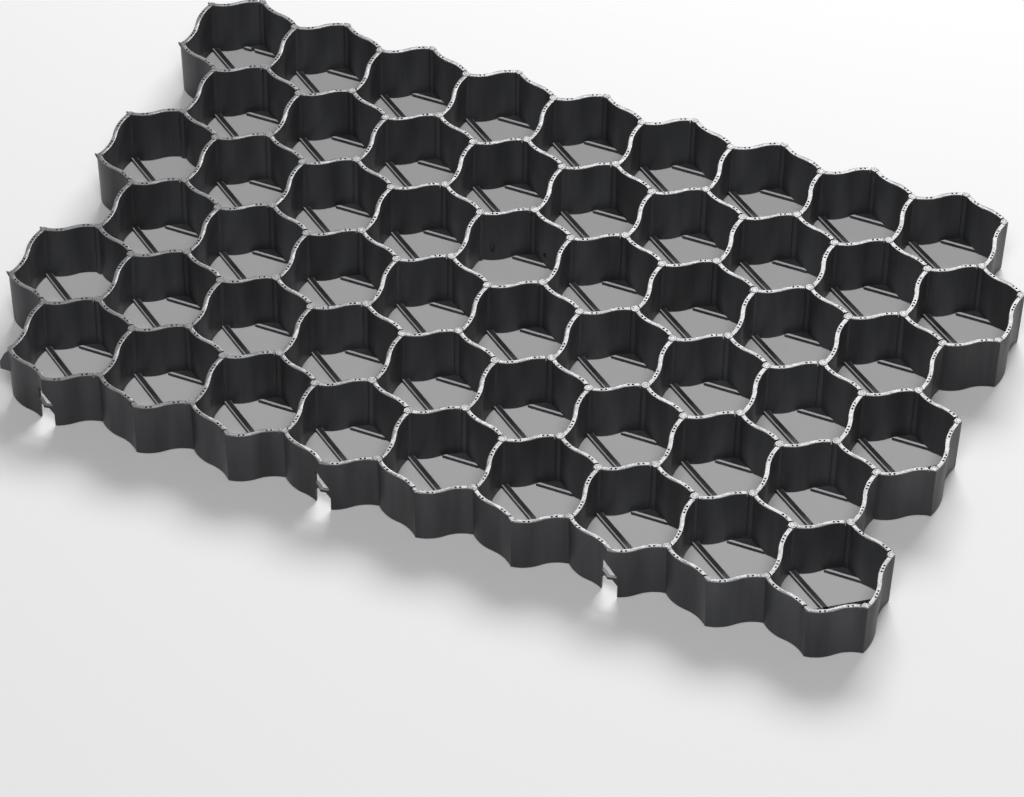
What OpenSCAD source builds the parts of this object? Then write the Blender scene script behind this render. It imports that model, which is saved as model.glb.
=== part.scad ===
// Honeycomb grass paver grid, one moulded panel of open cells with waved walls.
// The panel lies flat, its feet on z = 0, and X runs along the rows of cells.

/* [Grid] */
// Cells in one row
columns = 9; // [2:1:12]
// Rows of cells, every second one shifted by half a cell
rows = 6; // [2:2:8]
// Distance between cell centres along a row
cell_pitch = 63; // [50:0.5:80]
// Distance between two rows
row_pitch = 63; // [50:0.5:80]
// How far the front and back corner of a cell stands beyond its straight sides
peak_rise = 16.3; // [12:0.1:24]
// Height of the walls
height = 40; // [30:1:60]

/* [Walls] */
// Thickness of every wall
wall_t = 2.5; // [1.8:0.1:3.5]
// How far the walls across the rows lean out of line in each half wave
long_wave = 1.9; // [0.5:0.1:3]
// How far the slanting walls lean out of line in each half wave
short_wave = 1.6; // [0.5:0.1:3]

/* [Posts] */
// Diameter of the round post in every corner
post_d = 6.2; // [5:0.1:8]
// Distance of a post from the crossing of the wall lines, along the row
post_offset = 0.8; // [0:0.1:1.2]

/* [Floor bars] */
// Width of the diagonal bar across the bottom of a cell
bar_w = 4; // [2:0.5:8]
// Thickness of the bars and corner plates
floor_t = 3; // [1.5:0.5:6]
// Distance from a back corner to the front edge of its corner plate
plate_reach = 8.6; // [7:0.1:12]

/* [Connectors] */
// Cells from one slot or hook to the next along the front and back
connector_step = 3; // [1:1:4]
// Length of a hook from the corner that it stands on
hook_reach = 7; // [3:0.5:10]
// Thickness of a hook
hook_t = 3; // [2:0.5:5]
// Height of the lower edge of a hook above the ground
hook_z = 21; // [15:0.5:22]
// Width of the slot that takes a hook
slot_w = 11.5; // [6:0.5:14]

/* [Hidden] */
$fn = 96;
// Overlap of shapes that are joined or cut
lap = 0.05;
// Overlap of the two bends of a wall along it and across it, and how far the inward one bites into the outward one
turn_lap = 1.5;
turn_in = 0.4;
turn_bite = 0.02;
// How far a cut runs past the face that it goes through
cut_over = 1;
// Flats along each bend of the outer faces
bow_steps = 5;
half_pitch = cell_pitch / 2;
long_wall = row_pitch - peak_rise;
grid_w = (columns + 0.5) * cell_pitch;
grid_d = (rows - 1) * row_pitch + long_wall + 2 * peak_rise;
post_r = post_d / 2;
last_row = rows - 1;
last_col = columns - 1;
// Row and column of the one cell that has no bar
gate_row = min(2, last_row);
gate_col = floor(last_col / 2);
// Height of the tip of a hook and bulge of its sloping back
hook_tip = 6;
hook_bulge = 1;
// Lower edge of a slot, and top of the notch below the strip of wall under it
slot_z = hook_z - 4;
notch_h = slot_z - 2;
// Reach of the cut for a slot to either side of its corner
slot_depth = 9;

// Six corners of a cell about its centre, clockwise from the back one
corners = [
    [0, long_wall / 2 + peak_rise],
    [half_pitch, long_wall / 2],
    [half_pitch, -long_wall / 2],
    [0, -long_wall / 2 - peak_rise],
    [-half_pitch, -long_wall / 2],
    [-half_pitch, long_wall / 2]
];

// Centre of the cell in a row and a column, with row 0 at the back
function centre(row, col) = [
    (col + 0.5 + (row % 2) / 2) * cell_pitch - grid_w / 2,
    grid_d / 2 - peak_rise - long_wall / 2 - row * row_pitch
];

function odd(n) = n % 2 == 1;

// Unit vector, and the unit vector to the right of it
function unit(v) = v / norm(v);
function right_of(v) = [v[1], -v[0]];

// A wall runs clockwise round its cell from corner side to corner side + 1.
// It bends inwards in its first half and outwards in its second one.
function wave(side) = side % 3 == 1 ? long_wave : short_wave;
function start(side) = corners[side % 6];
function end(side) = corners[(side + 1) % 6];
function middle(side) = (start(side) + end(side)) / 2;
function bend_r(side) =
    let (quarter = norm(end(side) - start(side)) / 4)
    (quarter * quarter + wave(side) * wave(side)) / 2 / wave(side);
function bend_in(side) =
    let (n = right_of(unit(end(side) - start(side))))
    (start(side) + middle(side)) / 2 - n * (bend_r(side) - wave(side));
function bend_out(side) =
    let (n = right_of(unit(end(side) - start(side))))
    (middle(side) + end(side)) / 2 + n * (bend_r(side) - wave(side));

// Point of an outward bend at a distance from its wall line, inwards below 0
function off_bend(side, point, off) = bend_out(side) + unit(point - bend_out(side)) * (bend_r(side) + off);

// Point near the middle of the cell's face of a wall, shifted along the wall and towards the cell
function turn_point(side, along, inwards) =
    let (m = unit(bend_out(side) - middle(side)))
    middle(side) + m * (wall_t / 2 + inwards) - right_of(m) * along;

// Pie slice of a disc between the directions to two points
module slice(apex, r, a, b) {
    reach = 1.3 * r;
    intersection() {
        translate(apex)
            circle(r);
        polygon([apex, apex + unit(a - apex) * reach, apex + unit(b - apex) * reach]);
    }
}

// Open space between the walls and posts of one cell, with no post in a front corner that has a slot
module cell_space(slotted) {
    difference() {
        union() {
            polygon([
                for (side = [0:5])
                    for (point = [
                        turn_point(side, -turn_lap, -turn_in),
                        turn_point(side, turn_lap, turn_in),
                        off_bend(side, end(side), -wall_t / 2 - lap)
                    ])
                        point
            ]);
            for (side = [0:5])
                slice(bend_out(side), bend_r(side) - wall_t / 2, turn_point(side, -turn_lap, 0), end(side));
        }
        for (side = [0:5])
            translate(bend_in(side))
                circle(bend_r(side) + wall_t / 2 + turn_bite);
        for (corner = [0:5])
            if (corner != 3 || !slotted)
                translate(corners[corner] - [post_offset, 0])
                    circle(post_r);
    }
}

// Diagonal bar from the back left corner to the front right one
module floor_bar() {
    run = corners[2] - corners[5];
    rotate(atan2(run[1], run[0]))
        translate([-norm(run) / 2, -bar_w / 2, -2 * cut_over])
            cube([norm(run), bar_w, floor_t + 2 * cut_over]);
}

// Plate that fills the back corner of a cell
module corner_plate() {
    translate([-half_pitch, corners[0][1] - plate_reach, -2 * cut_over])
        cube([cell_pitch, plate_reach, floor_t + 2 * cut_over]);
}

// Second bar of the cells that end the odd rows, from the front left corner to the back right one
module end_bar() {
    mirror([0, 1, 0])
        floor_bar();
}

// Cells that differ from the rest
function is_gate(row, col) = row == gate_row && col == gate_col;
function is_plain(row, col) = col == 0 && row > 0 && !odd(row);
function is_end(row, col) = col == last_col && odd(row) && row > 1;
function has_slot(row, col) = row == last_row && col < last_col && col % connector_step == 0;

// Space that one cell takes out of the panel
module cell_cut(row, col) {
    difference() {
        translate([0, 0, -cut_over])
            linear_extrude(height + 2 * cut_over)
                cell_space(has_slot(row, col));
        if (!is_gate(row, col))
            floor_bar();
        if (!is_plain(row, col))
            corner_plate();
        if (is_end(row, col))
            end_bar();
    }
}

// Window for a hook and the notch below it, cut outwards along X through a corner
module slot_cut() {
    half = slot_w / 2;
    rotate([90, 0, 90])
        translate([0, 0, -slot_depth])
            linear_extrude(2 * slot_depth) {
                polygon([
                    [-half, slot_z],
                    [-half, hook_z + hook_tip],
                    [0, hook_z + hook_tip],
                    [half, slot_z]
                ]);
                polygon([
                    [-half, -cut_over],
                    [-half, notch_h * 2 / 3],
                    [-half / 2, notch_h],
                    [half / 2, notch_h],
                    [half, notch_h * 2 / 3],
                    [half, -cut_over]
                ]);
            }
}

// Hook plate that stands outwards along X from a corner, with a sloping back
module hook() {
    rotate([90, 0, 0])
        translate([0, 0, -hook_t / 2])
            linear_extrude(hook_t)
                polygon([
                    [-post_offset, hook_z],
                    [hook_reach, hook_z],
                    [hook_reach, hook_z + hook_tip],
                    [hook_reach / 2, (hook_z + hook_tip + height) / 2 + hook_bulge],
                    [-post_offset, height]
                ]);
}

// Corners of the panel that carry connectors, as row, column, corner and outward direction
slots = [for (col = [0:last_col]) if (has_slot(last_row, col)) [last_row, col, 3, -90]];
hooks = [
    for (col = [0:last_col]) if (has_slot(last_row, col)) [0, col, 1, 90],
    [last_row, 0, 4, 180]
];

// Outer sides of the panel, clockwise from the back left cell, as row, column and side
outer_sides = [
    for (col = [0:last_col]) for (side = [5, 0]) [0, col, side],
    for (row = [0:last_row]) for (side = [0, 1, 2])
        if (side == 1 || (odd(row) && (side == 0 || row < last_row))) [row, last_col, side],
    for (col = [last_col:-1:0]) for (side = [2, 3]) [last_row, col, side],
    for (row = [last_row:-1:0]) for (side = [3, 4, 5])
        if (side == 4 || (!odd(row) && (side == 3 ? row < last_row : row > 0))) [row, 0, side]
];
last_side = len(outer_sides) - 1;

// Point nearest to a given one where the circles about a and b meet
function meet(a, ra, b, rb, near) =
    let (d = norm(b - a))
    let (x = (d * d + ra * ra - rb * rb) / 2 / d)
    let (foot = a + unit(b - a) * x)
    let (side = right_of(unit(b - a)) * sqrt(ra * ra - x * x))
    norm(foot + side - near) < norm(foot - side - near) ? foot + side : foot - side;

// Corner of the outer face where an outer side ends and the next one starts
function outer_corner(n) =
    let (a = outer_sides[n])
    let (b = outer_sides[(n + 1) % len(outer_sides)])
    meet(
        centre(a[0], a[1]) + bend_out(a[2]), bend_r(a[2]) + wall_t / 2,
        centre(b[0], b[1]) + bend_in(b[2]), bend_r(b[2]) - wall_t / 2,
        centre(a[0], a[1]) + end(a[2])
    );

// Point of the outer face where the bend of an outer side turns over
function outer_middle(n) =
    let (s = outer_sides[n])
    centre(s[0], s[1]) + off_bend(s[2], middle(s[2]), wall_t / 2);

// Points along the bend about an apex, from one point up to another
function bow(apex, r, a, b) = [
    for (k = [0:bow_steps - 1])
        apex + unit((a - apex) * (1 - k / bow_steps) + (b - apex) * k / bow_steps) * r
];

// Solid block of the panel up to the outer face of its outer walls
module panel_block() {
    linear_extrude(height)
        polygon([
            for (n = [0:last_side])
                let (s = outer_sides[n])
                let (c = centre(s[0], s[1]))
                let (r = bend_r(s[2]))
                let (start_corner = outer_corner((n + last_side) % len(outer_sides)))
                for (point = concat(
                    bow(c + bend_in(s[2]), r - wall_t / 2, start_corner, outer_middle(n)),
                    bow(c + bend_out(s[2]), r + wall_t / 2, outer_middle(n), outer_corner(n))
                ))
                    point
        ]);
}

// Places a part at a corner of the panel, turned outwards
module at_corner(place) {
    translate(centre(place[0], place[1]) + corners[place[2]])
        rotate(place[3])
            children();
}

module paver_grid() {
    color("#2b2c2e") {
        difference() {
            panel_block();
            for (row = [0:last_row], col = [0:last_col])
                translate(centre(row, col))
                    cell_cut(row, col);
            for (place = slots)
                at_corner(place)
                    slot_cut();
        }
        for (place = hooks)
            at_corner(place)
                hook();
    }
}

paver_grid();
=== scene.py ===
import math
import random
import bpy
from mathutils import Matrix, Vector


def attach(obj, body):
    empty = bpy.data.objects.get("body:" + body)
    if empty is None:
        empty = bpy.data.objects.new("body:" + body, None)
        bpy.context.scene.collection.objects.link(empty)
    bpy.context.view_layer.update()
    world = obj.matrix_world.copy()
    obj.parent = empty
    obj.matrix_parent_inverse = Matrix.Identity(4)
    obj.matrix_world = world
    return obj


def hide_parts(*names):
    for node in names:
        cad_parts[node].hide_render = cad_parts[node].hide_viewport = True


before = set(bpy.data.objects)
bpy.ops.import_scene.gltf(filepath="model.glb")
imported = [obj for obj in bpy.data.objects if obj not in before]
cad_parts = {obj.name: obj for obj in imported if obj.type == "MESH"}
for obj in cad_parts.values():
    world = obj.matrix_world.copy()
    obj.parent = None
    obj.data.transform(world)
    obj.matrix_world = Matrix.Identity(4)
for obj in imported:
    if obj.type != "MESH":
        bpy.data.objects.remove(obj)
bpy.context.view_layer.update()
print("stage: frame loaded")

mm = 0.001

grid = {
    "columns": 9,
    "rows": 6,
    "cellPitch": 63.0,
    "rowPitch": 63.0,
    "peakRise": 16.3,
    "height": 40.0,
    "longWave": 1.9,
    "shortWave": 1.6,
    "arcSteps": 9,  # steps in each half wave
    "linkStep": 3,  # cells from one hook or slot to the next
}

walls = {
    "outerRim": 1.2,  # distance from the wall line to the outer face at the rim
    "outerFoot": 0.2,  # the same at the foot, inside the line because the face leans in
    "edgeRim": 1.65,  # inner face of an outer wall at the rim
    "edgeFoot": 1.4,
    "innerRim": 1.5,  # each face of a wall between two cells at the rim
    "innerFoot": 0.85,
    "rimDrop": 0.4,  # the rims lie this far below the tops of the posts
    "rimRound": 0.28,
    "footRound": 0.25,
    "roundSteps": 3,
    "cutPast": 1.0,  # cutting shapes reach this far past the feet and the post tops
    "flareBelow": 0.6,  # and a cell's shape widens by this much there
    "flareAbove": 0.4,
}

halfPitch = grid["cellPitch"] / 2
longWall = grid["rowPitch"] - grid["peakRise"]
gridWidth = (grid["columns"] + 0.5) * grid["cellPitch"]
gridDepth = (grid["rows"] - 1) * grid["rowPitch"] + longWall + 2 * grid["peakRise"]
lastRow = grid["rows"] - 1
lastCol = grid["columns"] - 1
height = grid["height"]
rimTop = height - walls["rimDrop"]
cellList = [(row, col) for row in range(grid["rows"]) for col in range(grid["columns"])]

corners = [  # clockwise from the back corner of a cell
    Vector((0, longWall / 2 + grid["peakRise"])),
    Vector((halfPitch, longWall / 2)),
    Vector((halfPitch, -longWall / 2)),
    Vector((0, -longWall / 2 - grid["peakRise"])),
    Vector((-halfPitch, -longWall / 2)),
    Vector((-halfPitch, longWall / 2)),
]


def cellCentre(row, col):
    x = (col + 0.5 + (row % 2) / 2) * grid["cellPitch"] - gridWidth / 2
    y = gridDepth / 2 - grid["peakRise"] - longWall / 2 - row * grid["rowPitch"]
    return Vector((x, y))


def rightOf(v):
    return Vector((v.y, -v.x))


def makeBend(side):
    start, end = corners[side], corners[(side + 1) % 6]
    wave = grid["longWave"] if side % 3 == 1 else grid["shortWave"]
    quarter = (end - start).length / 4
    radius = (quarter * quarter + wave * wave) / 2 / wave
    inward = rightOf((end - start).normalized())
    mid = (start + end) / 2
    return {
        "start": start,
        "mid": mid,
        "end": end,
        "radius": radius,
        "inCentre": (start + mid) / 2 - inward * (radius - wave),
        "outCentre": (mid + end) / 2 + inward * (radius - wave),
    }


bends = [makeBend(side) for side in range(6)]


def circleMeet(a, ra, b, rb, near):
    gap = (b - a).length
    x = (gap * gap + ra * ra - rb * rb) / 2 / gap
    along = (b - a) / gap
    foot = a + along * x
    side = rightOf(along) * math.sqrt(max(ra * ra - x * x, 0))
    first, second = foot + side, foot - side
    return first if (first - near).length < (second - near).length else second


def arcPoints(apex, radius, a, b):
    points = []
    for k in range(grid["arcSteps"]):
        t = k / grid["arcSteps"]
        points.append(apex + ((a - apex) * (1 - t) + (b - apex) * t).normalized() * radius)
    return points


def wallLoop(stretches):  # each stretch is a cell centre, a side and a distance towards the cell
    points = []
    count = len(stretches)

    def corner(n):
        (ca, sa, da), (cb, sb, db) = stretches[n - 1], stretches[n]
        a, b = bends[sa], bends[sb]
        return circleMeet(
            ca + a["outCentre"], a["radius"] - da,
            cb + b["inCentre"], b["radius"] + db, cb + b["start"])

    for n in range(count):
        centre, side, shift = stretches[n]
        bend = bends[side]
        inApex = centre + bend["inCentre"]
        outApex = centre + bend["outCentre"]
        middle = centre + bend["mid"]
        turn = inApex + (middle - inApex).normalized() * (bend["radius"] + shift)
        points += arcPoints(inApex, bend["radius"] + shift, corner(n), turn)
        points += arcPoints(outApex, bend["radius"] - shift, turn, corner((n + 1) % count))
    return points


# cell and side of every outer wall, clockwise from the back left corner
outerSides = [(0, col, side) for col in range(lastCol + 1) for side in (5, 0)]
for row in range(lastRow + 1):
    for side in (0, 1, 2):
        if side == 1 or (row % 2 == 1 and (side == 0 or row < lastRow)):
            outerSides.append((row, lastCol, side))
outerSides += [(lastRow, col, side) for col in range(lastCol, -1, -1) for side in (2, 3)]
for row in range(lastRow, -1, -1):
    for side in (3, 4, 5):
        if side == 4 or (row % 2 == 0 and (side == 3 and row < lastRow or side == 5 and row > 0)):
            outerSides.append((row, 0, side))
outerSet = set(outerSides)


def meshObject(name, points, faces):
    mesh = bpy.data.meshes.new(name)
    mesh.from_pydata([(p[0] * mm, p[1] * mm, p[2] * mm) for p in points], [], faces)
    mesh.validate()
    made = bpy.data.objects.new(name, mesh)
    bpy.context.scene.collection.objects.link(made)
    return made


def loftSolid(levels):  # levels are (height, loop) pairs from the bottom up
    count = len(levels[0][1])
    points = [(p.x, p.y, z) for z, loop in levels for p in loop]
    faces = []
    for k in range(len(levels) - 1):
        for n in range(count):
            a, b = k * count + n, k * count + (n + 1) % count
            faces.append((b, a, a + count, b + count))
    faces.append(tuple(range(count)))
    top = (len(levels) - 1) * count
    faces.append(tuple(top + n for n in reversed(range(count))))
    return points, faces


def joinSolids(name, solids):
    points, faces = [], []
    for solidPoints, solidFaces in solids:
        base = len(points)
        points += solidPoints
        faces += [tuple(base + n for n in face) for face in solidFaces]
    return meshObject(name, points, faces)


def rimLevels(rim, foot, top):  # height and distance from the wall line, from the bottom up
    rounding, footRounding = walls["rimRound"], walls["footRound"]
    levels = [(0.0, foot - footRounding), (footRounding, foot)]
    for k in range(walls["roundSteps"] + 1):
        angle = math.pi / 2 * k / walls["roundSteps"]
        levels.append((top - rounding + rounding * math.sin(angle),
                       rim - rounding + rounding * math.cos(angle)))
    return levels


def blockSolid(top):
    levels = []
    for z, out in rimLevels(walls["outerRim"], walls["outerFoot"], top):
        loop = wallLoop([(cellCentre(row, col), side, -out) for row, col, side in outerSides])
        levels.append((z, loop))
    return loftSolid(levels)


def cellSolid(row, col):
    inner = rimLevels(walls["innerRim"], walls["innerFoot"], rimTop)
    edge = rimLevels(walls["edgeRim"], walls["edgeFoot"], rimTop)
    pairs = list(zip(inner, edge))
    low, high = -walls["cutPast"], height + walls["cutPast"]
    below = [(low, part[0][1] - walls["flareBelow"]) for part in (inner, edge)]
    above = [(high, part[-1][1] - walls["flareAbove"]) for part in (inner, edge)]
    levels = []
    for (z, innerOff), (_, edgeOff) in [below] + pairs + [above]:
        loop = wallLoop([
            (cellCentre(row, col), side, edgeOff if (row, col, side) in outerSet else innerOff)
            for side in range(6)])
        levels.append((z, loop))
    return loftSolid(levels)


block = joinSolids("block", [blockSolid(rimTop)])
postLimit = joinSolids("postLimit", [blockSolid(height)])  # keeps the posts inside the outer walls
cells = joinSolids("cells", [cellSolid(row, col) for row, col in cellList])
print("stage: wall solids made")

posts = {
    "footRadius": 2.8,
    "neckRadius": 3.05,
    "topRadius": 2.8,
    "shift": 0.8,  # towards -X from the crossing of the wall lines
    "neckDepth": 1.3,
    "edgeRound": 0.25,
    "ringRadius": 1.65,  # fine ring that is sunk into the top
    "ringSteps": (0.2, 0.05, -0.2, -0.35),  # from its radius to its outer and inner edges
    "ringDepth": 0.12,
    "segments": 24,
}


def turnedSolid(profile, segments):  # profile runs up the side, as (radius, height)
    points, faces = [], []
    for r, z in profile:
        for n in range(segments):
            angle = 2 * math.pi * n / segments
            points.append((r * math.cos(angle), r * math.sin(angle), z))
    for k in range(len(profile) - 1):
        for n in range(segments):
            a, b = k * segments + n, k * segments + (n + 1) % segments
            faces.append((a, b, b + segments, a + segments))
    faces.append(tuple(reversed(range(segments))))
    top = (len(profile) - 1) * segments
    faces.append(tuple(top + n for n in range(segments)))
    return points, faces


neckTop = height - posts["neckDepth"]
ringFloor = height - posts["ringDepth"]
postProfile = [
    (posts["footRadius"], 0.0),
    (posts["neckRadius"], neckTop),
    (posts["topRadius"], neckTop),
    (posts["topRadius"], height - posts["edgeRound"]),
    (posts["topRadius"] - posts["edgeRound"], height),
]
for step, z in zip(posts["ringSteps"], (height, ringFloor, ringFloor, height)):
    postProfile.append((posts["ringRadius"] + step, z))
postShape = joinSolids("postShape", [turnedSolid(postProfile, posts["segments"])])


def firstOfEach(entries):  # leaves out entries whose point, the first item, came before
    kept = []
    for entry in entries:
        if all((entry[0] - other[0]).length > 1 for other in kept):
            kept.append(entry)
    return kept


def atSlot(row, col, k):  # the front corners with a slot have no post
    return row == lastRow and k == 3 and col % grid["linkStep"] == 0 and col < lastCol


crossings = firstOfEach([
    (cellCentre(row, col) + corner, atSlot(row, col, k))
    for row, col in cellList for k, corner in enumerate(corners)])
postSpots = [spot - Vector((posts["shift"], 0)) for spot, bare in crossings if not bare]


def pointObject(name, spots, z):
    return meshObject(name, [(p.x, p.y, z) for p in spots], [])


postPoints = pointObject("postPoints", postSpots, 0.0)

grooves = {  # dark crescent behind and to the left of each post
    "radius": 3.3,
    "sides": 20,
    "depth": 1.8,
    "shift": 0.9,
    "firstAngle": 120,  # degrees from +X, drawn between these two
    "lastAngle": 175,
    "seed": 7,
}
chance = random.Random(grooves["seed"])
grooveSpots = []
for spot in postSpots:
    angle = math.radians(chance.uniform(grooves["firstAngle"], grooves["lastAngle"]))
    grooveSpots.append(spot + Vector((math.cos(angle), math.sin(angle))) * grooves["shift"])
groovePoints = pointObject("groovePoints", grooveSpots, rimTop)

pits = {  # small round pits along the rims, at shares of a wall's length
    "radius": 0.78,
    "sides": 7,
    "depth": 3.0,
    "longPlaces": (0.22, 0.275, 0.33, 0.68, 0.735, 0.79),
    "shortPlaces": (0.235, 0.31, 0.72, 0.795),
}


def wallPoint(centre, side, t):  # point on the wall line at a share t of its length
    bend = bends[side]
    if t < 0.5:
        apex, a, b, share = bend["inCentre"], bend["start"], bend["mid"], t * 2
    else:
        apex, a, b, share = bend["outCentre"], bend["mid"], bend["end"], t * 2 - 1
    direction = ((a - apex) * (1 - share) + (b - apex) * share).normalized()
    return centre + apex + direction * bend["radius"]


wallList = firstOfEach([
    (cellCentre(row, col) + bends[side]["mid"], row, col, side)
    for row, col in cellList for side in range(6)])
pitSpots = []
for _, row, col, side in wallList:
    places = pits["longPlaces"] if side % 3 == 1 else pits["shortPlaces"]
    for t in places:
        pitSpots.append(wallPoint(cellCentre(row, col), side, t))
pitPoints = pointObject("pitPoints", pitSpots, rimTop)
print("stage: posts and pits placed", len(postSpots), len(pitSpots))

floorParts = {
    "barWidth": 4.0,
    "thick": 3.0,
    "plateReach": 8.6,
    "plateLeft": -12.6,
    "plateRight": 11.6,
    "barEdge": 0.55,
    "plateEdge": 0.8,
    "bareCell": (2, 4),  # the one cell with no bar
    "secondShare": 0.98,  # length of the crossing bars at the right end, as a share
}


def insetLoop(loop, distance):  # moves every side of a convex loop inwards
    count = len(loop)
    moved = []
    for n in range(count):
        before, here, after = loop[n - 1], loop[n], loop[(n + 1) % count]
        u, v = (here - before).normalized(), (after - here).normalized()
        inU, inV = Vector((-u.y, u.x)), Vector((-v.y, v.x))
        bisector = (inU + inV).normalized()
        moved.append(here + bisector * distance / bisector.dot(inU))
    return moved


def slabSolid(outline, high, bevel):  # outline runs anticlockwise
    inner = insetLoop(outline, bevel)
    levels = [(0.0, outline), (high - bevel, outline), (high, inner)]
    count = len(outline)
    points = [(p.x, p.y, z) for z, loop in levels for p in loop]
    faces = []
    for k in range(len(levels) - 1):
        for n in range(count):
            a, b = k * count + n, k * count + (n + 1) % count
            faces.append((a, b, b + count, a + count))
    faces.append(tuple(reversed(range(count))))
    faces.append(tuple(2 * count + n for n in range(count)))
    return points, faces


def barSolid(centre, a, b):
    run = (b - a).normalized()
    side = Vector((-run.y, run.x)) * floorParts["barWidth"] / 2
    outline = [a - side, b - side, b + side, a + side]
    return slabSolid([centre + p for p in outline], floorParts["thick"], floorParts["barEdge"])


def plateSolid(centre):
    back = corners[0]
    front = back.y - floorParts["plateReach"]
    outline = [
        Vector((floorParts["plateLeft"], front)),
        Vector((floorParts["plateRight"], front)),
        back,
    ]
    return slabSolid([centre + p for p in outline], floorParts["thick"], floorParts["plateEdge"])


bars, plates = [], []
second = floorParts["secondShare"]
for row, col in cellList:
    centre = cellCentre(row, col)
    if (row, col) != floorParts["bareCell"]:
        bars.append(barSolid(centre, corners[5], corners[2]))
    if not (col == 0 and row > 0 and row % 2 == 0):
        plates.append(plateSolid(centre))
    if col == lastCol and row % 2 == 1 and row > 1:
        bars.append(barSolid(centre, corners[4] * second, corners[1] * second))
barMesh = joinSolids("bars", bars)
plateMesh = joinSolids("plates", plates)

links = {
    "hookReach": 7.0,
    "hookThick": 3.0,
    "hookLow": 21.0,
    "hookTip": 6.0,
    "hookBack": 34.5,  # height of the hook half way along its sloping back
    "hookDrop": 0.2,  # its root ends this far below the rim
    "slotLow": 17.0,
    "slotHigh": 27.0,
    "notchSide": 10.0,
    "notchHigh": 15.0,
    "slotHalf": 5.75,
    "slotDepth": 9.0,
}


def prismSolid(outline, low, high, place):  # place turns (out, up, across) into a point
    count = len(outline)
    points = [place(p[0], p[1], low) for p in outline] + [place(p[0], p[1], high) for p in outline]
    faces = [tuple(range(count)), tuple(count + n for n in reversed(range(count)))]
    for n in range(count):
        a, b = n, (n + 1) % count
        faces.append((b, a, a + count, b + count))
    return points, faces


def cornerPlace(spot, angle):
    out = Vector((math.cos(angle), math.sin(angle)))
    across = Vector((-out.y, out.x))

    def place(forward, up, sideways):
        p = spot + out * forward + across * sideways
        return (p.x, p.y, up)
    return place


hookLine = [
    (-posts["shift"], links["hookLow"]),
    (links["hookReach"], links["hookLow"]),
    (links["hookReach"], links["hookLow"] + links["hookTip"]),
    (links["hookReach"] / 2, links["hookBack"]),
    (-posts["shift"], rimTop - links["hookDrop"]),
]
half = links["slotHalf"]
windowLine = [
    (-half, links["slotLow"]),
    (half, links["slotLow"]),
    (0, links["slotHigh"]),
    (-half, links["slotHigh"]),
]
notchLine = [
    (-half, -walls["cutPast"]),
    (half, -walls["cutPast"]),
    (half, links["notchSide"]),
    (half / 2, links["notchHigh"]),
    (-half / 2, links["notchHigh"]),
    (-half, links["notchSide"]),
]


def slotPlace(tip):
    def place(right, up, deep):
        return (tip.x + right, tip.y + deep, up)
    return place


def hookSolid(spot, angle):
    side = links["hookThick"] / 2
    return prismSolid(hookLine, side, -side, cornerPlace(spot, angle))


hooks, slots = [], []
for col in range(0, lastCol, grid["linkStep"]):
    hooks.append(hookSolid(cellCentre(0, col) + corners[1], math.pi / 2))
    tip = cellCentre(lastRow, col) + corners[3]
    for line in (windowLine, notchLine):
        slots.append(prismSolid(line, -links["slotDepth"], links["slotDepth"], slotPlace(tip)))
hooks.append(hookSolid(cellCentre(lastRow, 0) + corners[4], math.pi))

fins = {  # small fins on the left corners of every second row
    "reach": 3.0,
    "root": 1.0,
    "thick": 1.0,
    "drop": 4.0,
    "topDrop": 0.2,
    "rows": (0, 2, 4),
}
root = fins["root"]
finLow, finHigh = height - fins["drop"], height - fins["topDrop"]
finLine = [(-root, finLow), (root, finLow), (fins["reach"], finHigh), (-root, finHigh)]
for row in fins["rows"]:
    for k in (4, 5):
        finPlace = cornerPlace(cellCentre(row, 0) + corners[k], math.pi)
        hooks.append(prismSolid(finLine, fins["thick"] / 2, -fins["thick"] / 2, finPlace))
hookMesh = joinSolids("hooks", hooks)
slotMesh = joinSolids("slots", slots)

marks = {  # two small hollows in the walls of the bare cell, and a notch in one corner plate
    "leftHollow": (5, 0.205, 11.5, 1.7, 4.4),  # side, share along it, height, half width, half height
    "rightHollow": (0, 0.34, 10.0, 1.5, 2.5),
    "hollowEnds": (3.0, -0.4),  # from the open cell to a little past the middle of the wall
    "notchCell": (0, 0),
    "notchPlace": (-5.5, 31.0),
    "notchRadius": 1.5,
    "notchPast": 0.5,
    "segments": 16,
}


def ovalHollow(side, share, up, halfWidth, halfHeight):
    centre = cellCentre(*floorParts["bareCell"])
    spot = wallPoint(centre, side, share)
    along = (wallPoint(centre, side, share + 0.02) - spot).normalized()
    inward = rightOf(along)
    points = []
    for end in marks["hollowEnds"]:
        for n in range(marks["segments"]):
            angle = 2 * math.pi * n / marks["segments"]
            p = spot + inward * end + along * halfWidth * math.cos(angle)
            points.append((p.x, p.y, up + halfHeight * math.sin(angle)))
    count = marks["segments"]
    faces = [(n, (n + 1) % count, count + (n + 1) % count, count + n) for n in range(count)]
    faces += [tuple(reversed(range(count))), tuple(count + n for n in range(count))]
    return points, faces


notchEnds = (-walls["cutPast"], floorParts["thick"] + marks["notchPast"])
notchPoints, notchFaces = turnedSolid([(marks["notchRadius"], z) for z in notchEnds], marks["segments"])
notchSpot = cellCentre(*marks["notchCell"]) + Vector(marks["notchPlace"])
notchSolid = ([(x + notchSpot.x, y + notchSpot.y, z) for x, y, z in notchPoints], notchFaces)
hollows = [ovalHollow(*marks[name]) for name in ("leftHollow", "rightHollow")]
markMesh = joinSolids("marks", hollows + [notchSolid])


def outwardFaces(made):
    bpy.context.view_layer.objects.active = made
    made.select_set(True)
    bpy.ops.object.mode_set(mode="EDIT")
    bpy.ops.mesh.select_all(action="SELECT")
    bpy.ops.mesh.normals_make_consistent(inside=False)
    bpy.ops.object.mode_set(mode="OBJECT")
    made.select_set(False)


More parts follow.
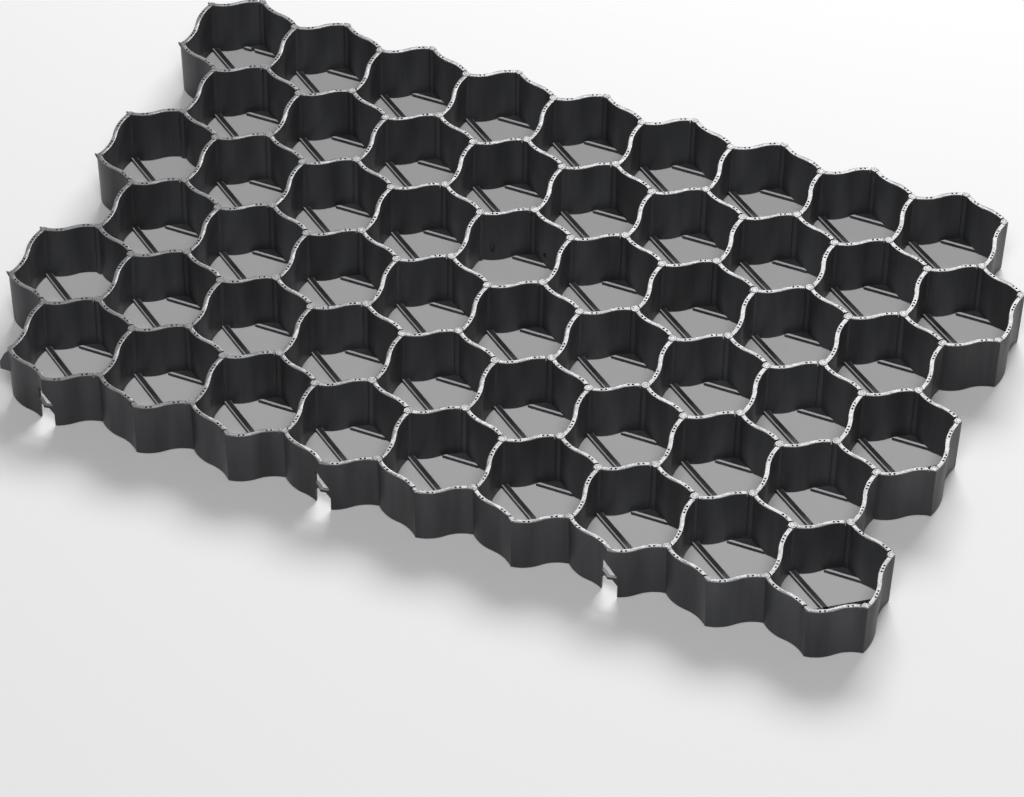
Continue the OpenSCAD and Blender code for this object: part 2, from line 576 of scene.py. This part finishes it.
solidParts = [block, postLimit, cells, postShape, barMesh, plateMesh, hookMesh, slotMesh, markMesh]
for made in solidParts:
    outwardFaces(made)
print("stage: small solids made")

finish = {
    "wallDark": (0.016, 0.0165, 0.0185, 1),
    "wallLight": (0.038, 0.0392, 0.0435, 1),
    # painted highlight: the rim tops get a lighter, speckled colour that stands in for the lamps' gloss on
    # them
    "paintedRimHighlightDim": (0.075, 0.076, 0.078, 1),
    "paintedRimHighlightBright": (0.115, 0.115, 0.117, 1),
    "paintedBevelHighlight": (0.42, 0.42, 0.425, 1),  # painted highlight on the bevels of the bars and corner plates
    "wallRough": (0.40, 0.52),
    "rimRough": (0.2, 0.3),
    "specular": 0.4,
    "rimStart": 39.1,
    "rimEnd": 39.4,
    "streakScale": (60, 60, 6),  # flow lines of the melt run up the walls
    "streakRange": (0.35, 0.65),
    "speckScale": 300,
    "speckRange": (0.38, 0.6),
    "grainScale": 900,
    "bump": 0.06,
    "bumpDepth": 0.0003,
    "highlightFrom": (0.5, 0.6),  # faces that slope up more than this get the painted highlight
    "highlightTo": (0.9, 0.8),  # up to those that lie flat
    "highlightTop": (3.3, 3.1),  # and no higher than the bars
    "sharpAngle": 38,
}


def blackPlastic():
    plastic = bpy.data.materials.new("blackPlastic")
    plastic.use_nodes = True
    nodes, wires = plastic.node_tree.nodes, plastic.node_tree.links
    shader = nodes["Principled BSDF"]
    shader.inputs["Specular IOR Level"].default_value = finish["specular"]
    where = nodes.new("ShaderNodeTexCoord")

    def noise(scale, detail, vector):
        made = nodes.new("ShaderNodeTexNoise")
        made.inputs["Scale"].default_value = scale
        made.inputs["Detail"].default_value = detail
        wires.new(vector, made.inputs["Vector"])
        return made.outputs["Fac"]

    def spread(value, low, high, newLow, newHigh):
        made = nodes.new("ShaderNodeMapRange")
        for name, number in (("From Min", low), ("From Max", high), ("To Min", newLow), ("To Max", newHigh)):
            made.inputs[name].default_value = number
        wires.new(value, made.inputs["Value"])
        return made.outputs["Result"]

    def multiply(first, second):
        made = nodes.new("ShaderNodeMath")
        made.operation = "MULTIPLY"
        wires.new(first, made.inputs[0])
        wires.new(second, made.inputs[1])
        return made.outputs["Value"]

    def blend(factor, first, second):
        made = nodes.new("ShaderNodeMix")
        made.data_type = "RGBA"
        wires.new(factor, made.inputs["Factor"])
        for socket, value in ((made.inputs["A"], first), (made.inputs["B"], second)):
            if isinstance(value, tuple):
                socket.default_value = value
            else:
                wires.new(value, socket)
        return made.outputs["Result"]

    stretch = nodes.new("ShaderNodeMapping")
    stretch.inputs["Scale"].default_value = finish["streakScale"]
    wires.new(where.outputs["Object"], stretch.inputs["Vector"])
    streaks = spread(noise(1, 3, stretch.outputs["Vector"]), *finish["streakRange"], 0, 1)
    speckle = noise(finish["speckScale"], 2, where.outputs["Object"])
    specks = spread(speckle, *finish["speckRange"], 0, 1)
    split = nodes.new("ShaderNodeSeparateXYZ")
    wires.new(where.outputs["Object"], split.inputs["Vector"])
    rim = spread(split.outputs["Z"], finish["rimStart"] * mm, finish["rimEnd"] * mm, 0, 1)
    wallColour = blend(streaks, finish["wallDark"], finish["wallLight"])
    # painted highlight on the rim tops, speckled, mixed in above rimStart
    paintedRimHighlight = blend(specks, finish["paintedRimHighlightDim"], finish["paintedRimHighlightBright"])
    facing = nodes.new("ShaderNodeNewGeometry")
    tilt = nodes.new("ShaderNodeSeparateXYZ")
    wires.new(facing.outputs["Normal"], tilt.inputs["Vector"])
    # painted highlight: bevels that slant upwards and lie no higher than the bars get a pale colour,
    # standing in for the light they catch
    sloping = spread(tilt.outputs["Z"], *finish["highlightFrom"], 0, 1)
    notFlat = spread(tilt.outputs["Z"], *finish["highlightTo"], 0, 1)
    lowDown = spread(split.outputs["Z"], *[z * mm for z in finish["highlightTop"]], 0, 1)
    bevelHighlightMask = multiply(multiply(sloping, notFlat), lowDown)
    wallColour = blend(bevelHighlightMask, wallColour, finish["paintedBevelHighlight"])
    wires.new(blend(rim, wallColour, paintedRimHighlight), shader.inputs["Base Color"])
    wallRough = spread(streaks, 0, 1, finish["wallRough"][1], finish["wallRough"][0])
    rimRough = spread(specks, 0, 1, finish["rimRough"][1], finish["rimRough"][0])
    rough = nodes.new("ShaderNodeMix")
    wires.new(rim, rough.inputs["Factor"])
    wires.new(wallRough, rough.inputs["A"])
    wires.new(rimRough, rough.inputs["B"])
    wires.new(rough.outputs["Result"], shader.inputs["Roughness"])
    grain = nodes.new("ShaderNodeBump")
    grain.inputs["Strength"].default_value = finish["bump"]
    grain.inputs["Distance"].default_value = finish["bumpDepth"]
    wires.new(noise(finish["grainScale"], 2, where.outputs["Object"]), grain.inputs["Height"])
    wires.new(grain.outputs["Normal"], shader.inputs["Normal"])
    return plastic


plastic = blackPlastic()


def buildTree():
    tree = bpy.data.node_groups.new("panelTree", "GeometryNodeTree")
    face = tree.interface
    face.new_socket("Geometry", in_out="OUTPUT", socket_type="NodeSocketGeometry")
    face.new_socket("Block", in_out="INPUT", socket_type="NodeSocketGeometry")
    shapes = ("Cells", "Post", "Post Limit", "Post Points", "Groove Points", "Pit Points",
              "Bars", "Plates", "Hooks", "Slots", "Marks")
    for name in shapes:
        face.new_socket(name, in_out="INPUT", socket_type="NodeSocketObject")
    for name in ("Groove Radius", "Groove Depth", "Pit Radius", "Pit Depth"):
        face.new_socket(name, in_out="INPUT", socket_type="NodeSocketFloat")
    for name in ("Groove Sides", "Pit Sides"):
        face.new_socket(name, in_out="INPUT", socket_type="NodeSocketInt")
    face.new_socket("Finish", in_out="INPUT", socket_type="NodeSocketMaterial")
    start = tree.nodes.new("NodeGroupInput")
    ending = tree.nodes.new("NodeGroupOutput")

    def shapeOf(name):
        info = tree.nodes.new("GeometryNodeObjectInfo")
        info.transform_space = "ORIGINAL"
        tree.links.new(start.outputs[name], info.inputs["Object"])
        return info.outputs["Geometry"]

    def drill(name):  # upright cylinder that reaches as far above its point as below it
        made = tree.nodes.new("GeometryNodeMeshCylinder")
        twice = tree.nodes.new("ShaderNodeMath")
        twice.operation = "MULTIPLY"
        twice.inputs[1].default_value = 2
        tree.links.new(start.outputs[name + " Depth"], twice.inputs[0])
        tree.links.new(twice.outputs["Value"], made.inputs["Depth"])
        tree.links.new(start.outputs[name + " Radius"], made.inputs["Radius"])
        tree.links.new(start.outputs[name + " Sides"], made.inputs["Vertices"])
        return made.outputs["Mesh"]

    def repeat(points, shape):
        place = tree.nodes.new("GeometryNodeInstanceOnPoints")
        tree.links.new(shapeOf(points), place.inputs["Points"])
        tree.links.new(shape, place.inputs["Instance"])
        real = tree.nodes.new("GeometryNodeRealizeInstances")
        tree.links.new(place.outputs["Instances"], real.inputs["Geometry"])
        return real.outputs["Geometry"]

    def combine(kind, first, *others):
        node = tree.nodes.new("GeometryNodeMeshBoolean")
        node.operation = kind
        node.solver = "MANIFOLD"
        if kind == "DIFFERENCE":
            tree.links.new(first, node.inputs["Mesh 1"])
        else:
            tree.links.new(first, node.inputs["Mesh 2"])
        for other in others:
            tree.links.new(other, node.inputs["Mesh 2"])
        return node.outputs["Mesh"]

    shell = start.outputs["Block"]
    hollow = combine("DIFFERENCE", shell, shapeOf("Cells"))
    cut = combine("DIFFERENCE", hollow, repeat("Pit Points", drill("Pit")))
    cut = combine("DIFFERENCE", cut, repeat("Groove Points", drill("Groove")))
    postSet = combine("INTERSECT", shapeOf("Post Limit"), repeat("Post Points", shapeOf("Post")))
    floorSet = combine("INTERSECT", shell, combine("UNION", shapeOf("Bars"), shapeOf("Plates")))
    whole = combine("UNION", cut, postSet)
    whole = combine("UNION", whole, floorSet)
    whole = combine("DIFFERENCE", whole, combine("UNION", shapeOf("Slots"), shapeOf("Marks")))
    whole = combine("UNION", whole, shapeOf("Hooks"))
    real = tree.nodes.new("GeometryNodeRealizeInstances")
    tree.links.new(whole, real.inputs["Geometry"])
    paint = tree.nodes.new("GeometryNodeSetMaterial")
    tree.links.new(real.outputs["Geometry"], paint.inputs["Geometry"])
    tree.links.new(start.outputs["Finish"], paint.inputs["Material"])
    tree.links.new(paint.outputs["Geometry"], ending.inputs["Geometry"])
    return tree


tree = buildTree()
modifier = block.modifiers.new("panel", "NODES")
modifier.node_group = tree
treeValues = {
    "Cells": cells,
    "Post": postShape,
    "Post Limit": postLimit,
    "Post Points": postPoints,
    "Groove Points": groovePoints,
    "Pit Points": pitPoints,
    "Bars": barMesh,
    "Plates": plateMesh,
    "Hooks": hookMesh,
    "Slots": slotMesh,
    "Marks": markMesh,
    "Finish": plastic,
    "Groove Radius": grooves["radius"] * mm,
    "Groove Depth": grooves["depth"] * mm,
    "Groove Sides": grooves["sides"],
    "Pit Radius": pits["radius"] * mm,
    "Pit Depth": pits["depth"] * mm,
    "Pit Sides": pits["sides"],
}
for item in tree.interface.items_tree:
    if item.in_out == "INPUT" and item.name in treeValues:
        modifier[item.identifier] = treeValues[item.name]
bpy.context.view_layer.update()
depsgraph = bpy.context.evaluated_depsgraph_get()
mesh = bpy.data.meshes.new_from_object(block.evaluated_get(depsgraph))
mesh.name = "paverPanel"
panel = bpy.data.objects.new("paverPanel", mesh)
bpy.context.scene.collection.objects.link(panel)
for made in solidParts + [postPoints, groovePoints, pitPoints]:
    bpy.data.objects.remove(made)
mesh.polygons.foreach_set("use_smooth", [True] * len(mesh.polygons))
mesh.set_sharp_from_angle(angle=math.radians(finish["sharpAngle"]))
triangles = sum(len(p.vertices) - 2 for p in mesh.polygons)
print("stage: panel mesh", len(mesh.vertices), triangles)

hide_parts("paver_grid")
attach(panel, "root")

studio = {
    "floorSize": 30.0,
    "floorColour": (0.56, 0.56, 0.56, 1),
    "fadeStart": 0.75,  # from here outwards the floor turns into the white background
    "fadeEnd": 2.2,
    "floorRough": 0.9,
    "floorSpecular": 0.2,
    "floorDrop": 0.0004,
    "worldStrength": 0.24,
}

floorMesh = bpy.data.meshes.new("floor")
reach = studio["floorSize"] / 2
floorMesh.from_pydata(
    [(-reach, -reach, 0), (reach, -reach, 0), (reach, reach, 0), (-reach, reach, 0)],
    [], [(0, 1, 2, 3)])
floor = bpy.data.objects.new("floor", floorMesh)
bpy.context.scene.collection.objects.link(floor)
floor.location.z = -studio["floorDrop"]


def backgroundRays(nodes, wires):  # 1 for rays that see a background, 0 for those that light the object
    path = nodes.new("ShaderNodeLightPath")
    either = path.outputs["Is Camera Ray"]
    for name in ("Is Glossy Ray", "Is Transmission Ray"):
        join = nodes.new("ShaderNodeMath")
        join.operation = "MAXIMUM"
        wires.new(either, join.inputs[0])
        wires.new(path.outputs[name], join.inputs[1])
        either = join.outputs["Value"]
    return either


def paleFloor():
    pale = bpy.data.materials.new("paleFloor")
    pale.use_nodes = True
    nodes, wires = pale.node_tree.nodes, pale.node_tree.links
    shader = nodes["Principled BSDF"]
    shader.inputs["Base Color"].default_value = studio["floorColour"]
    shader.inputs["Roughness"].default_value = studio["floorRough"]
    shader.inputs["Specular IOR Level"].default_value = studio["floorSpecular"]
    where = nodes.new("ShaderNodeTexCoord")
    distance = nodes.new("ShaderNodeVectorMath")
    distance.operation = "LENGTH"
    wires.new(where.outputs["Object"], distance.inputs[0])
    fade = nodes.new("ShaderNodeMapRange")
    fade.interpolation_type = "SMOOTHSTEP"
    fade.inputs["From Min"].default_value = studio["fadeStart"]
    fade.inputs["From Max"].default_value = studio["fadeEnd"]
    wires.new(distance.outputs["Value"], fade.inputs["Value"])
    share = nodes.new("ShaderNodeMath")
    share.operation = "MULTIPLY"
    wires.new(fade.outputs["Result"], share.inputs[0])
    wires.new(backgroundRays(nodes, wires), share.inputs[1])
    white = nodes.new("ShaderNodeEmission")
    mix = nodes.new("ShaderNodeMixShader")
    wires.new(share.outputs["Value"], mix.inputs["Fac"])
    wires.new(shader.outputs["BSDF"], mix.inputs[1])
    wires.new(white.outputs["Emission"], mix.inputs[2])
    wires.new(mix.outputs["Shader"], nodes["Material Output"].inputs["Surface"])
    return pale


floorMesh.materials.append(paleFloor())


def studioWorld():
    world = bpy.data.worlds.new("studioWorld")
    world.use_nodes = True
    nodes, wires = world.node_tree.nodes, world.node_tree.links
    nodes.clear()
    output = nodes.new("ShaderNodeOutputWorld")
    mix = nodes.new("ShaderNodeMixShader")
    lit = nodes.new("ShaderNodeBackground")
    lit.inputs["Strength"].default_value = studio["worldStrength"]
    seen = nodes.new("ShaderNodeBackground")
    seen.inputs["Strength"].default_value = 1.0
    wires.new(backgroundRays(nodes, wires), mix.inputs["Fac"])
    wires.new(lit.outputs["Background"], mix.inputs[1])
    wires.new(seen.outputs["Background"], mix.inputs[2])
    wires.new(mix.outputs["Shader"], output.inputs["Surface"])
    return world


bpy.context.scene.world = studioWorld()

lamps = {
    "backSoftbox": {"place": (-0.15, 1.9, 1.85), "size": (1.7, 1.1), "power": 95},
    "frontSoftbox": {"place": (0.6, -1.5, 2.6), "size": (1.4, 1.2), "power": 58},
}


def areaLight(name, place, size, power):  # aimed at the middle of the panel
    data = bpy.data.lights.new(name, "AREA")
    data.shape = "RECTANGLE"
    data.size, data.size_y = size
    data.energy = power
    lamp = bpy.data.objects.new(name, data)
    bpy.context.scene.collection.objects.link(lamp)
    lamp.location = place
    lamp.rotation_euler = (-Vector(place)).to_track_quat("-Z", "Y").to_euler()


for name, values in lamps.items():
    areaLight(name, **values)

camera = {
    "place": (0.79125, -1.97761, 1.95745),
    "turn": (46.5415, -0.7537, 22.5605),
    "lens": 158.532,
    "sensor": 36.0,
    "clipEnd": 100,
}
lensData = bpy.data.cameras.new("camera")
lensData.lens = camera["lens"]
lensData.sensor_width = camera["sensor"]
lensData.clip_end = camera["clipEnd"]
cameraObject = bpy.data.objects.new("camera", lensData)
bpy.context.scene.collection.objects.link(cameraObject)
cameraObject.location = camera["place"]
cameraObject.rotation_euler = [math.radians(a) for a in camera["turn"]]
bpy.context.scene.camera = cameraObject
bpy.context.scene.view_settings.view_transform = "Standard"
print("stage: light and camera set")
